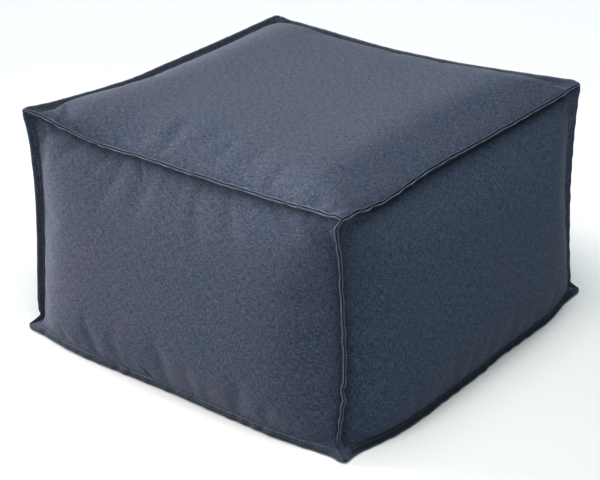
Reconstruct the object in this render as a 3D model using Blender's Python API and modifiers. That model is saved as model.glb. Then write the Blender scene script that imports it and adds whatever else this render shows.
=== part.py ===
# Square filled outdoor pouf: one filled body, and round each of its six panels the turned-out, topstitched
# border that meets its neighbours' borders along all twelve seams and makes an ear at each of the eight corners.
# Metres, +Z up. The origin is the middle of the footprint, on the floor. The front is -Y and the right side +X.
import bmesh
import bpy
import math
from mathutils import Matrix, Vector

# Driving sizes
BASE_WIDTH = 0.600          # between the tips of the ears that lie on the floor
TOP_WIDTH = 0.575           # between the tips of the top ears
HEIGHT = 0.348              # floor to the tips of the top ears
BORDER_WIDTH = 0.012        # how far a panel's border stands out from its seam
PLY_THICKNESS = 0.0020      # one panel's turned-in border, two layers of cloth
SEAM_GAP = 0.0003           # between the two borders of a seam
BORDER_LIFT = 0.0007        # from the body's edge to the foot of a border
UPRIGHT_LIFT = 0.0011       # the same on an upright seam, whose panels swell out steeply beside it
BASE_EXTRA_LIFT = 0.0007    # and this much more low down there, where the seam turns out into its ear
BASE_TIP_HEIGHT = 0.0026    # middle of the borders over the floor, at the ears of the base

# How a seam runs between its two ears: drawn in towards the middle, sagging, or pushed out
TOP_DRAW_IN = 0.0088
TOP_SAG = 0.0132
TOP_ROUNDNESS = 2.5         # power of the curve: the higher, the later it turns towards its ear
BASE_PUSH_OUT = 0.0154
BASE_ROUNDNESS = 3.5
UPRIGHT_DRAW_IN = 0.0101    # along X and along Y
UPRIGHT_TOP_ROUNDNESS = 2.7
UPRIGHT_BASE_ROUNDNESS = 14

# An ear: from the body's corner to the ear's tip, along X, Y and Z
TOP_EAR = (0.0085, 0.0085, 0.0085)
BASE_EAR = (0.0160, 0.0160, -0.0072)
EAR_ROUNDNESS = 9           # power with which a border widens into its ear
UPRIGHT_EAR_ROUNDNESS = 14

# Crown of each panel over its four seams
TOP_CROWN = 0.044
SIDE_CROWN = 0.031
EVEN_SHARE = 0.35           # share of the crown that is one even arch, the rest swells close to the seams
TOP_SWELL = 12              # power of the swelling part on the top panel
SIDE_SWELL = 16             # across a side panel, which swells out close to its upright seams
HIGH_SWELL = 6              # up and down a side panel
BASE_SWELL = 14             # the base turns down to the floor close to its seams
BASE_FLAT_SHARE = 0.87      # the base touches the floor where its swell passes this share
FLOOR_PATCH = 0.290         # half of the side of the square that the touching part is laid out on
PATCH_HOLLOW = 0.012        # share by which that square's sides are drawn in, so it bears on its corners
TANGENT_STEP = 0.004        # half of the stretch of a seam that its direction is read from

# Mesh
CAGE_CELLS = (14, 14, 9)    # along X, Y and Z
CAGE_TOLERANCE = 0.00001
CAGE_CROWDING = 0.7         # crowds the cage towards the seams, 0 is even and 1 is a sine's spacing
BORDER_CROWDING = 0.8       # crowds a border's steps towards the ears
BORDER_STEPS = {"level": 18, "upright": 12}
BORDER_ROWS = (             # across a border, from its foot to its rolled tip
    {"at": 0.00, "thickness": 0.70},
    {"at": 0.60, "thickness": 0.78},
    {"at": 0.90, "thickness": 1.00},
    {"at": 1.00, "thickness": 0.45},
)

CLOTH_COLOUR = (0.078, 0.097, 0.150, 1.0)
BORDER_COLOUR = (0.070, 0.088, 0.138, 1.0)
CLOTH_ROUGHNESS = 0.92

# The corners, named by their signs along X, Y and Z. Each ear sits a little off the even square.
EAR_SHIFTS = {
    (-1, -1, 1): {"x": -0.001, "y": 0.000, "z": 0.003},
    (1, -1, 1): {"x": 0.000, "y": 0.000, "z": -0.003},
    (1, 1, 1): {"x": 0.001, "y": 0.000, "z": 0.001},
    (-1, 1, 1): {"x": 0.000, "y": -0.001, "z": -0.007},
}

# The panels: the axis that each one faces along, and its sign there
PANELS = {
    "top": {"axis": 2, "sign": 1},
    "bottom": {"axis": 2, "sign": -1},
    "front": {"axis": 1, "sign": -1},
    "back": {"axis": 1, "sign": 1},
    "left": {"axis": 0, "sign": -1},
    "right": {"axis": 0, "sign": 1},
}

# Seams that differ from the even rule, by the two axes and signs that they lie at. The factor scales how far
# the seam is drawn or pushed, the centre is where it is drawn most, from -1 to 1 along it, and the lean turns
# its border about it in degrees. A ripple is the border's side-to-side play, in so many waves.
SEAM_HABITS = {
    ((1, -1), (2, 1)): {"factor": 1.15, "centre": -0.15, "lean": 4.0, "ripple": 0.0010, "ripples": 5},
    ((0, 1), (2, 1)): {"factor": 0.95, "centre": -0.20, "lean": -4.0, "ripple": 0.0012, "ripples": 4},
    ((1, 1), (2, 1)): {"factor": 0.90, "centre": -0.15, "lean": 3.0, "ripple": 0.0008, "ripples": 5},
    ((0, -1), (2, 1)): {"factor": 0.95, "centre": -0.15, "lean": -3.0, "ripple": 0.0010, "ripples": 4},
    ((0, 1), (1, -1)): {"factor": 1.00, "centre": 0.00, "lean": 0.0, "ripple": 0.0014, "ripples": 3},
    ((0, 1), (1, 1)): {"factor": 0.95, "centre": -0.10, "lean": 9.0, "ripple": 0.0008, "ripples": 2},
    ((0, -1), (1, -1)): {"factor": 1.08, "centre": 0.10, "lean": 0.0, "ripple": 0.0008, "ripples": 3},
    ((1, -1), (2, -1)): {"factor": 1.00, "centre": -0.30, "lean": 0.0, "ripple": 0.0006, "ripples": 4},
    ((0, 1), (2, -1)): {"factor": 1.00, "centre": -0.25, "lean": 0.0, "ripple": 0.0006, "ripples": 4},
}
EVEN_SEAM = {"factor": 1.0, "centre": 0.0, "lean": 0.0, "ripple": 0.0006, "ripples": 4}


def clear_scene():
    for obj in list(bpy.data.objects):
        bpy.data.objects.remove(obj, do_unlink=True)


def cloth_material(name, colour):
    material = bpy.data.materials.new(name)
    material.use_nodes = True
    shader = material.node_tree.nodes["Principled BSDF"]
    shader.inputs["Base Color"].default_value = colour
    shader.inputs["Roughness"].default_value = CLOTH_ROUGHNESS
    shader.inputs["Metallic"].default_value = 0.0
    return material


def ear_tip(corner):
    half = (TOP_WIDTH if corner[2] > 0 else BASE_WIDTH) / 2
    height = HEIGHT if corner[2] > 0 else BASE_TIP_HEIGHT
    shift = EAR_SHIFTS.get(corner, {"x": 0.0, "y": 0.0, "z": 0.0})
    return Vector((corner[0] * half + shift["x"], corner[1] * half + shift["y"], height + shift["z"]))


def ear_reach(corner):
    """From the body's corner to the ear's tip."""
    reach = TOP_EAR if corner[2] > 0 else BASE_EAR
    return Vector((corner[0] * reach[0], corner[1] * reach[1], reach[2]))


def seam_ends(sides):
    """The two corners of the seam at the given sides, each an (axis, sign), and the axis it runs along."""
    along = ({0, 1, 2} - {axis for axis, sign in sides}).pop()
    ends = []
    for end in (-1, 1):
        corner = [0, 0, 0]
        for axis, sign in sides:
            corner[axis] = sign
        corner[along] = end
        ends.append(tuple(corner))
    return ends, along


def seam_curve(sides):
    """How the seam is bowed: the shift of its middle, and the powers towards its first and second ear."""
    factor = SEAM_HABITS.get(sides, EVEN_SEAM)["factor"]
    bow = Vector((0, 0, 0))
    if dict(sides).get(2) == 1:
        axis, sign = sides[0]
        bow[axis] = -sign * TOP_DRAW_IN * factor
        bow[2] = -TOP_SAG * factor
        return bow, TOP_ROUNDNESS, TOP_ROUNDNESS
    if dict(sides).get(2) == -1:
        axis, sign = sides[0]
        bow[axis] = sign * BASE_PUSH_OUT * factor
        return bow, BASE_ROUNDNESS, BASE_ROUNDNESS
    for axis, sign in sides:
        bow[axis] = -sign * UPRIGHT_DRAW_IN * factor
    return bow, UPRIGHT_BASE_ROUNDNESS, UPRIGHT_TOP_ROUNDNESS


def border_reach(sides, place):
    """From the seam to the outer edge of its borders, at a place from -1 to 1 along the seam."""
    ends, along = seam_ends(sides)
    middle = Vector((0, 0, 0))
    for axis, sign in sides:
        middle[axis] = sign * BORDER_WIDTH / math.sqrt(2)
    habit = SEAM_HABITS.get(sides, EVEN_SEAM)
    axis_vector = Vector((0, 0, 0))
    axis_vector[along] = 1
    turn = math.radians(habit["lean"]) + habit["ripple"] / BORDER_WIDTH * math.sin(
        math.pi * habit["ripples"] * place)
    middle = Matrix.Rotation(turn, 3, axis_vector) @ middle
    share = abs(place) ** (UPRIGHT_EAR_ROUNDNESS if along == 2 else EAR_ROUNDNESS)
    return middle.lerp(ear_reach(ends[0] if place < 0 else ends[1]), share)


def outer_point(sides, place):
    """A point of the outer edge of a seam's borders."""
    ends, along = seam_ends(sides)
    bow, first_power, second_power = seam_curve(sides)
    centre = SEAM_HABITS.get(sides, EVEN_SEAM)["centre"]
    if place < centre:
        fade = ((centre - place) / (1 + centre)) ** first_power
    else:
        fade = ((place - centre) / (1 - centre)) ** second_power
    chord = ear_tip(ends[0]).lerp(ear_tip(ends[1]), (place + 1) / 2)
    return chord + bow * (1 - fade)


def seam_point(sides, place):
    """A point of the sewn seam itself, which is also the body's edge."""
    return outer_point(sides, place) - border_reach(sides, place)


def crowd(place, amount):
    return (1 - amount) * place + amount * math.sin(place * math.pi / 2)


def swell(place, power):
    return EVEN_SHARE * (1 - place ** 2) + (1 - EVEN_SHARE) * (1 - abs(place) ** power)


def panel_point(panel, u, v):
    """A point of a panel's outside. u and v run from -1 to 1 along the panel's two axes, in their order."""
    axis, sign = panel["axis"], panel["sign"]
    first, second = [other for other in (0, 1, 2) if other != axis]

    def seam(other, end, place):
        sides = tuple(sorted([(axis, sign), (other, end)]))
        return seam_point(sides, place)

    across = seam(first, -1, v).lerp(seam(first, 1, v), (u + 1) / 2)
    along = seam(second, -1, u).lerp(seam(second, 1, u), (v + 1) / 2)
    low = seam(second, -1, -1).lerp(seam(second, -1, 1), (u + 1) / 2)
    high = seam(second, 1, -1).lerp(seam(second, 1, 1), (u + 1) / 2)
    point = across + along - low.lerp(high, (v + 1) / 2)
    if axis == 2 and sign == -1:
        flat = min((1 - abs(u) ** BASE_SWELL) * (1 - abs(v) ** BASE_SWELL) / BASE_FLAT_SHARE, 1.0)
        patch = Vector((u * (1 - PATCH_HOLLOW * (1 - v ** 2)), v * (1 - PATCH_HOLLOW * (1 - u ** 2)), 0))
        point = point.lerp(patch * FLOOR_PATCH, flat)
    elif axis == 2:
        point.z += TOP_CROWN * swell(u, TOP_SWELL) * swell(v, TOP_SWELL)
    else:
        point[axis] += sign * SIDE_CROWN * swell(u, SIDE_SWELL) * swell(v, HIGH_SWELL)
    return point


def on_side(cage, axis, sign):
    return math.isclose(cage[axis], sign, abs_tol=CAGE_TOLERANCE)


def body_point(cage):
    """Carries a point of the cage, a cube from -1 to 1, to the filled body."""
    for panel in PANELS.values():
        if on_side(cage, panel["axis"], panel["sign"]):
            u, v = [crowd(cage[other], CAGE_CROWDING) for other in (0, 1, 2) if other != panel["axis"]]
            return panel_point(panel, u, v)
    raise ValueError("this cage point lies on no panel")


def build_body(collection, material):
    cage = bmesh.new()
    bmesh.ops.create_cube(cage, size=2.0)
    for axis, cells in enumerate(CAGE_CELLS):
        along = [edge for edge in cage.edges if abs(edge.verts[0].co[axis] - edge.verts[1].co[axis]) > 1]
        bmesh.ops.subdivide_edges(cage, edges=along, cuts=cells - 1, use_grid_fill=True)
    crease = cage.edges.layers.float.new("crease_edge")
    for edge in cage.edges:
        middle = (edge.verts[0].co + edge.verts[1].co) / 2
        sides = [panel for panel in PANELS.values() if on_side(middle, panel["axis"], panel["sign"])]
        if len(sides) == 2:
            edge[crease] = 1.0
    places = [body_point(vert.co) for vert in cage.verts]
    for vert, place in zip(cage.verts, places):
        vert.co = place
    for edge in cage.edges:
        if max(vert.co.z for vert in edge.verts) < CAGE_TOLERANCE:
            edge[crease] = 1.0
    bmesh.ops.recalc_face_normals(cage, faces=cage.faces[:])
    mesh = bpy.data.meshes.new("filled_body")
    cage.to_mesh(mesh)
    cage.free()
    mesh.shade_smooth()
    mesh.materials.append(material)
    body = bpy.data.objects.new("filled_body", mesh)
    collection.objects.link(body)
    smooth = body.modifiers.new("Filled form", "SUBSURF")
    smooth.levels = 1
    smooth.render_levels = 1


def panel_loop(panel):
    """The panel's four seams in order round it, each with the direction in which the loop runs along it."""
    axis, sign = panel["axis"], panel["sign"]
    first, second = [other for other in (0, 1, 2) if other != axis]
    route = [(second, -1, 1), (first, 1, 1), (second, 1, -1), (first, -1, -1)]
    return [(tuple(sorted([(axis, sign), (other, end)])), run) for other, end, run in route]


def towards_panel(panel, sides, place):
    """Unit vector square to the seam's borders, pointing to the panel's own side of them."""
    low = max(place - TANGENT_STEP, -1.0)
    high = min(place + TANGENT_STEP, 1.0)
    tangent = seam_point(sides, high) - seam_point(sides, low)
    normal = border_reach(sides, place).cross(tangent).normalized()
    middle = panel_point(panel, 0.0, 0.0)
    return normal if normal.dot(middle - seam_point(sides, place)) > 0 else -normal


def border_station(sides, place, run, aside):
    """One place along a border: its foot, its outer edge, the way to its panel's side and the loop's run there."""
    outer = outer_point(sides, place)
    reach = border_reach(sides, place)
    lift = BORDER_LIFT
    if seam_ends(sides)[1] == 2 and abs(place) < 1:
        lift = UPRIGHT_LIFT + BASE_EXTRA_LIFT * max(-place, 0) ** 3
    offset = aside * SEAM_GAP / 2
    foot = outer - reach + reach.normalized() * lift
    return {"foot": foot + offset, "tip": outer + offset, "aside": aside, "run": run}


def border_stations(panel):
    stations = []
    loop = panel_loop(panel)
    for number, (sides, run) in enumerate(loop):
        steps = BORDER_STEPS["level" if seam_ends(sides)[1] != 2 else "upright"]
        before, before_run = loop[number - 1]
        own = towards_panel(panel, sides, -run)
        other = towards_panel(panel, before, before_run)
        mitre = (own + other) / (1 + own.dot(other))
        stations.append(border_station(sides, -run, run, mitre))
        for index in range(1, steps):
            place = run * crowd(2 * index / steps - 1, BORDER_CROWDING)
            stations.append(border_station(sides, place, run, towards_panel(panel, sides, place)))
    return stations


def build_border(name, panel, collection, material):
    """The border as an open strip beside the seams, given its thickness on the panel's own side."""
    stations = border_stations(panel)
    strip = bmesh.new()
    rows = []
    for station in stations:
        rows.append([strip.verts.new(station["foot"].lerp(station["tip"], row["at"])) for row in BORDER_ROWS])
    for number, row in enumerate(rows):
        following = rows[(number + 1) % len(rows)]
        split = (0, 2) if stations[number]["run"] > 0 else (1, 3)
        for low in range(len(BORDER_ROWS) - 1):
            corners = (row[low], following[low], following[low + 1], row[low + 1])
            strip.faces.new((corners[split[0]], corners[split[0] + 1], corners[split[1]]))
            strip.faces.new((corners[split[1]], corners[(split[1] + 1) % 4], corners[split[0]]))
    strip.normal_update()
    strip.faces.ensure_lookup_table()
    aside = stations[1]["aside"]
    if strip.faces[0].normal.dot(aside) > 0:
        bmesh.ops.reverse_faces(strip, faces=strip.faces[:])
    mesh = bpy.data.meshes.new(name)
    strip.to_mesh(mesh)
    strip.free()
    mesh.materials.append(material)
    border = bpy.data.objects.new(name, mesh)
    collection.objects.link(border)
    ply = border.vertex_groups.new(name="ply")
    for number in range(len(stations)):
        for low, row in enumerate(BORDER_ROWS):
            ply.add([number * len(BORDER_ROWS) + low], row["thickness"], "REPLACE")
    shell = border.modifiers.new("Turned-in cloth", "SOLIDIFY")
    shell.thickness = PLY_THICKNESS
    shell.offset = -1
    shell.vertex_group = "ply"
    shell.use_even_offset = True
    mesh.shade_smooth()


def main():
    clear_scene()
    collection = bpy.data.collections.new("Outdoor pouf")
    bpy.context.scene.collection.children.link(collection)
    cloth = cloth_material("outdoor cloth", CLOTH_COLOUR)
    border_cloth = cloth_material("border cloth", BORDER_COLOUR)
    build_body(collection, cloth)
    for name, panel in PANELS.items():
        build_border(name + "_panel_border", panel, collection, border_cloth)


main()
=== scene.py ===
import math

import bmesh
import bpy
import numpy as np
from mathutils import Matrix, Vector


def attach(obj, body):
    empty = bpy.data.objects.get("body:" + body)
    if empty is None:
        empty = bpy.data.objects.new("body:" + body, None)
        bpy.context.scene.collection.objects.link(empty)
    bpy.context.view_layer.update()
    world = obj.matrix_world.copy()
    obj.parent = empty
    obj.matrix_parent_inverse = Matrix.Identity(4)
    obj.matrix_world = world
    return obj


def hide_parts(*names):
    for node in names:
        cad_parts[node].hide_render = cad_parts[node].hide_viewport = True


# Looks of the square outdoor pouf. Metres, +Z up, the front is -Y and the right side +X.
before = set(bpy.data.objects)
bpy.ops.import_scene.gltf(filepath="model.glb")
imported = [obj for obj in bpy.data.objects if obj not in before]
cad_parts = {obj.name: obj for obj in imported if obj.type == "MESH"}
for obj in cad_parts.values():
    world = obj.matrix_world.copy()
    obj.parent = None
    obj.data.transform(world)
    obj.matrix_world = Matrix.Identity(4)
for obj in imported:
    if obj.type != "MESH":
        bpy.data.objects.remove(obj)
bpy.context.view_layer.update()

# The pouf's seams follow the same sizes as its solids. Up, out and lengths are in metres.
pouf = {
    "baseWidth": 0.600,            # between the ears on the floor
    "topWidth": 0.575,             # between the top ears
    "height": 0.348,               # floor to the tips of the top ears
    "baseTipHeight": 0.0026,       # floor to the tips of the ears that lie on it
    "borderWidth": 0.012,          # how far a border stands out from its seam
    "topDrawIn": 0.0088,           # how a top seam is drawn in and sags between its ears
    "topSag": 0.0132,
    "topRoundness": 2.5,
    "basePushOut": 0.0154,         # how a base seam is pushed out by the filling
    "baseRoundness": 3.5,
    "uprightDrawIn": 0.0101,
    "uprightTopRoundness": 2.7,
    "uprightBaseRoundness": 14,
    "topEar": (0.0085, 0.0085, 0.0085),
    "baseEar": (0.0138, 0.0138, -0.0072),
    "earRoundness": 9,
    "uprightEarRoundness": 14,
    "topCrown": 0.044,
    "sideCrown": 0.031,
    "evenShare": 0.38,             # the share of a side's crown that is one even arch
    "topEvenShare": 0.25,
    "topSwell": 10,
    "sideSwell": 7,
    "highSwell": 5,
    "lowSwell": 10,
    "baseSwell": 14,
    "baseFlatShare": 0.87,
    "wanderFade": 7,               # how fast a seam's own wandering dies away into its panels
}

# Where each top ear sits off the even square
earShifts = {
    (-1, -1, 1): (-0.001, 0.000, 0.005),
    (1, -1, 1): (0.000, 0.000, -0.003),
    (1, 1, 1): (0.001, 0.000, 0.001),
    (-1, 1, 1): (0.000, -0.001, -0.007),
}

# The panels: the axis that each faces along, and its sign there
panels = {
    "top": (2, 1),
    "bottom": (2, -1),
    "front": (1, -1),
    "back": (1, 1),
    "left": (0, -1),
    "right": (0, 1),
}

# The twelve seams. A seam bows by its factor, most at its centre, and its border leans over by so many
# degrees. It wanders up, out or aside by so many millimetres at places from -1 to 1 along it. The share named
# follow of that is in the seam itself, and the rest only in the border's outer edge.
seams = {
    "topFront": {
        "sides": ((1, -1), (2, 1)), "factor": 1.15, "centre": -0.15, "lean": 4.0,
        "way": "up", "follow": 0.75,
        "wander": {
            -0.95: 1.5, -0.90: 3.5, -0.78: 0.5, -0.63: -3.8, -0.46: -5.2, -0.36: -3.8, -0.25: -1.2,
            -0.10: 0.2, 0.05: -0.8, 0.20: 0.6, 0.32: -0.2, 0.46: 1.0, 0.60: 0.2, 0.73: 0.9, 0.86: 1.8,
            0.91: -0.2, 0.96: 2.4,
        },
    },
    "topRight": {
        "sides": ((0, 1), (2, 1)), "factor": 0.95, "centre": -0.20, "lean": -4.0,
        "way": "up", "follow": 0.75,
        "wander": {
            -0.95: -1.6, -0.88: 1.0, -0.80: -2.2, -0.67: -4.2, -0.55: -1.0, -0.44: 2.6, -0.33: 5.4,
            -0.14: 5.8, 0.02: 4.4, 0.21: 3.6, 0.46: 2.2, 0.67: 0.8, 0.84: -0.8, 0.95: 0.5,
        },
    },
    "topBack": {
        "sides": ((1, 1), (2, 1)), "factor": 0.90, "centre": -0.15, "lean": 3.0,
        "way": "up", "follow": 0.8,
        "wander": {
            -0.93: -2.4, -0.83: 0.3, -0.62: 2.8, -0.41: 1.9, -0.24: 0.2, -0.12: -0.5, 0.09: 0.2, 0.29: 0.5,
            0.47: 1.7, 0.64: 2.6, 0.81: 2.4, 0.95: 1.2,
        },
    },
    "topLeft": {
        "sides": ((0, -1), (2, 1)), "factor": 0.95, "centre": -0.15, "lean": -3.0,
        "way": "up", "follow": 0.8,
        "wander": {
            -0.85: -0.4, -0.66: 1.0, -0.47: 0.4, -0.24: -0.8, 0.00: 2.6, 0.22: 4.6, 0.47: 5.0, 0.72: 4.6,
            0.90: 2.4,
        },
    },
    "uprightFrontRight": {
        "sides": ((0, 1), (1, -1)), "factor": 1.00, "centre": 0.00, "lean": 0.0,
        "way": "aside", "follow": 0.55,
        "wander": {
            -0.93: 3.6, -0.89: 7.0, -0.82: 6.8, -0.75: 5.0, -0.67: 2.4, -0.59: 1.1, -0.52: -1.8, -0.43: 0.6,
            -0.36: -3.4, -0.27: -2.4, -0.16: -3.1, 0.03: -2.2, 0.16: -0.8, 0.26: -1.2, 0.39: 1.5, 0.50: 0.5,
            0.60: 2.2, 0.68: 2.8, 0.78: 5.2, 0.87: 7.8, 0.915: 8.6, 0.95: 4.2,
        },
    },
    "uprightBackRight": {
        "sides": ((0, 1), (1, 1)), "factor": 0.95, "centre": -0.10, "lean": 15.0,
        "way": "out", "follow": 0.5,
        "wander": {
            -0.96: 1.5, -0.87: 0.3, -0.48: -1.6, -0.20: -1.8, 0.07: -1.2, 0.35: 0.4, 0.86: -0.3,
        },
    },
    "uprightFrontLeft": {
        "sides": ((0, -1), (1, -1)), "factor": 1.08, "centre": 0.10, "lean": 0.0,
        "way": "out", "follow": 0.5,
        "wander": {
            -0.96: 0.6, -0.90: -2.0, -0.85: 0.2, -0.74: 2.8, -0.46: 1.6, -0.18: 0.0, 0.12: -0.4, 0.34: 0.1,
            0.53: 0.7, 0.68: -0.3, 0.85: -0.6,
        },
    },
    "uprightBackLeft": {
        "sides": ((0, -1), (1, 1)), "factor": 1.00, "centre": 0.00, "lean": 0.0,
        "way": "aside", "follow": 0.5,
        "wander": {
            -0.85: -2.4, -0.60: -0.6, -0.30: 1.6, 0.05: 2.2, 0.35: -0.8, 0.62: -2.0, 0.88: -4.6,
        },
    },
    "baseFront": {
        "sides": ((1, -1), (2, -1)), "factor": 1.00, "centre": -0.30, "lean": 38.0,
        "way": "out", "follow": 0.7,
        "wander": {
            -0.96: 4.0, -0.84: -0.7, -0.72: 0.7, -0.57: 1.9, -0.42: 0.0, -0.22: -2.4, -0.04: -4.6,
            0.14: -4.6, 0.32: -3.4, 0.49: -3.0, 0.60: -1.4, 0.77: -3.6, 0.86: -4.6, 0.92: -5.0, 0.97: 0.6,
        },
    },
    "baseRight": {
        "sides": ((0, 1), (2, -1)), "factor": 1.00, "centre": -0.25, "lean": 45.0,
        "way": "out", "follow": 0.7,
        "wander": {
            -0.95: -5.0, -0.89: -7.0, -0.81: -4.4, -0.70: -0.4, -0.61: 1.8, -0.48: 2.4, -0.32: 1.4,
            0.00: 1.4, 0.18: -2.2, 0.36: 0.0, 0.48: 1.8, 0.61: 4.0, 0.68: 3.0, 0.83: -2.0, 0.95: 2.8,
        },
    },
    "baseBack": {
        "sides": ((1, 1), (2, -1)), "factor": 1.00, "centre": 0.00, "lean": -40.0,
        "way": "out", "follow": 0.7,
        "wander": {
            -0.94: -4.0, -0.70: 0.4, -0.45: 1.8, -0.15: -1.6, 0.20: -2.6, 0.50: 1.0, 0.80: -1.8, 0.93: -4.4,
        },
    },
    "baseLeft": {
        "sides": ((0, -1), (2, -1)), "factor": 1.00, "centre": 0.00, "lean": -40.0,
        "way": "out", "follow": 0.7,
        "wander": {
            -0.93: -3.6, -0.72: -0.6, -0.40: 1.2, -0.05: -1.8, 0.28: -0.6, 0.55: 1.6, 0.78: -1.0,
            0.94: -4.0,
        },
    },
}
seamOfSides = {seam["sides"]: name for name, seam in seams.items()}

# How much painted shade darkens the cloth in the nook beside a seam, and over how many millimetres that
# fades. For the
# border there: the share left of its gap's painted shade and of its paler edge (wear and painted highlight),
# and how dark the painted shade on its outer edge is and from where out.
plainShade = {"depth": 0.50, "reach": 5.0}
seamShades = {
    ("top", "topFront"): {"depth": 0.45, "reach": 3.0, "gap": 0.70},
    ("top", "topRight"): {"depth": 0.55, "reach": 3.5, "wearAndHighlight": 0.25},
    ("front", "topFront"): {"depth": 0.38, "reach": 13.0, "gap": 0.70},
    ("right", "topRight"): {"depth": 0.86, "reach": 9.0},
    ("front", "uprightFrontRight"): {"depth": 0.50, "reach": 8.0, "gap": 0.75},
    ("front", "uprightFrontLeft"): {"depth": 0.25, "reach": 3.0},
    ("right", "uprightBackRight"): {"depth": 0.0, "reach": 3.0, "edge": 0.80, "edgeAt": 0.86},
    ("right", "uprightFrontRight"): {"depth": 0.62, "reach": 10.0, "gap": 0.75, "wearAndHighlight": 0.6},
    ("front", "baseFront"): {"depth": 0.15, "reach": 5.0, "edge": 0.62, "edgeAt": 0.3},
    ("right", "baseRight"): {"depth": 0.80, "reach": 6.0, "edge": 0.40, "edgeAt": 0.3},
}

millimetre = 0.001
tiny = 1e-9
placeStep = 0.0025
placeGrid = np.arange(-1.0, 1.0 + placeStep / 2, placeStep)
# How far a seam's wandering is smoothed, and fades out at its two ends, in places along it
wanderLook = {"softness": 0.009, "floorSoftness": 0.020, "endFade": 0.02}


def softened(values, softness):
    # smooths values that stand on the place grid by a bell of that width
    reach = int(math.ceil(3 * softness / placeStep))
    bell = np.exp(-0.5 * (np.arange(-reach, reach + 1) * placeStep / softness) ** 2)
    return np.convolve(np.pad(values, reach, mode="edge"), bell / bell.sum(), mode="valid")


def halfSize(axis):
    return (pouf["height"] if axis == 2 else pouf["topWidth"]) / 2


def panelAxes(panel):
    # the two axes that a panel lies along
    return [axis for axis in (0, 1, 2) if axis != panels[panel][0]]


def earTip(corner):
    half = (pouf["topWidth"] if corner[2] > 0 else pouf["baseWidth"]) / 2
    height = pouf["height"] if corner[2] > 0 else pouf["baseTipHeight"]
    return np.array((corner[0] * half, corner[1] * half, height)) + earShifts.get(corner, (0.0, 0.0, 0.0))


def earReach(corner):
    reach = pouf["topEar"] if corner[2] > 0 else pouf["baseEar"]
    return np.array((corner[0] * reach[0], corner[1] * reach[1], reach[2]))


def seamEnds(name):
    # the two corners that a seam runs between, and the axis that it runs along
    sides = seams[name]["sides"]
    along = ({0, 1, 2} - {axis for axis, sign in sides}).pop()
    ends = []
    for end in (-1, 1):
        corner = [0, 0, 0]
        for axis, sign in sides:
            corner[axis] = sign
        corner[along] = end
        ends.append(tuple(corner))
    return ends, along


def seamBow(name):
    # how far a seam bows at its centre, and how evenly towards its two ends
    seam = seams[name]
    axis, sign = seam["sides"][0]
    bow = np.zeros(3)
    if name.startswith("top"):
        bow[axis] = -sign * pouf["topDrawIn"] * seam["factor"]
        bow[2] = -pouf["topSag"] * seam["factor"]
        return bow, pouf["topRoundness"], pouf["topRoundness"]
    if name.startswith("base"):
        bow[axis] = sign * pouf["basePushOut"] * seam["factor"]
        return bow, pouf["baseRoundness"], pouf["baseRoundness"]
    for axis, sign in seam["sides"]:
        bow[axis] = -sign * pouf["uprightDrawIn"] * seam["factor"]
    return bow, pouf["uprightBaseRoundness"], pouf["uprightTopRoundness"]


def outerPoints(name, places):
    # the even run of a seam's outer edge, before it wanders
    ends = seamEnds(name)[0]
    bow, firstPower, secondPower = seamBow(name)
    centre = seams[name]["centre"]
    before = np.clip((centre - places) / (1 + centre), 0, None) ** firstPower
    after = np.clip((places - centre) / (1 - centre), 0, None) ** secondPower
    share = ((places + 1) / 2)[:, None]
    chord = earTip(ends[0]) * (1 - share) + earTip(ends[1]) * share
    return chord + bow * (1 - before - after)[:, None]


def borderReach(name, places):
    # from the seam to its outer edge, turned over by the seam's lean and widening into the ears
    ends, along = seamEnds(name)
    middle = Vector((0, 0, 0))
    for axis, sign in seams[name]["sides"]:
        middle[axis] = sign * pouf["borderWidth"] / math.sqrt(2)
    turn = Vector((0, 0, 0))
    turn[along] = 1
    middle = np.array(Matrix.Rotation(math.radians(seams[name]["lean"]), 3, turn) @ middle)
    power = pouf["uprightEarRoundness"] if along == 2 else pouf["earRoundness"]
    share = (np.abs(places) ** power)[:, None]
    ear = np.where((places < 0)[:, None], earReach(ends[0]), earReach(ends[1]))
    return middle * (1 - share) + ear * share


def wanderWay(name):
    seam = seams[name]
    (firstAxis, firstSign), (secondAxis, secondSign) = seam["sides"]
    way = np.zeros(3)
    if seam["way"] == "up":
        way[2] = 1
    elif seam["way"] == "aside":
        way[firstAxis], way[secondAxis] = -firstSign / math.sqrt(2), secondSign / math.sqrt(2)
    elif secondAxis == 2:
        way[firstAxis] = firstSign
    else:
        way[firstAxis], way[secondAxis] = firstSign / math.sqrt(2), secondSign / math.sqrt(2)
    return way


for name, seam in seams.items():
    rows = seam["wander"]
    at = [-1.0] + sorted(rows) + [1.0]
    wave = np.interp(placeGrid, at, [0.0] + [rows[place] for place in sorted(rows)] + [0.0])
    softness = wanderLook["floorSoftness" if name.startswith("base") else "softness"]
    fade = np.clip((1 - np.abs(placeGrid)) / wanderLook["endFade"], 0, 1)
    seam["wave"] = softened(wave, softness) * fade


def wanderShift(name, places):
    return (np.interp(places, placeGrid, seams[name]["wave"]) * millimetre)[:, None] * wanderWay(name)


def evenSeam(name, places):
    return outerPoints(name, places) - borderReach(name, places)


def seamPoints(name, places):
    return evenSeam(name, places) + wanderShift(name, places) * seams[name]["follow"]


def crowd(places, amount):
    # spaces places closer together towards -1 and 1
    return (1 - amount) * places + amount * np.sin(places * math.pi / 2)


def swell(places, power, even):
    return even * (1 - places ** 2) + (1 - even) * (1 - np.abs(places) ** power)


def panelSeam(panel, otherAxis, end):
    return seamOfSides[tuple(sorted([panels[panel], (otherAxis, end)]))]


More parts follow.
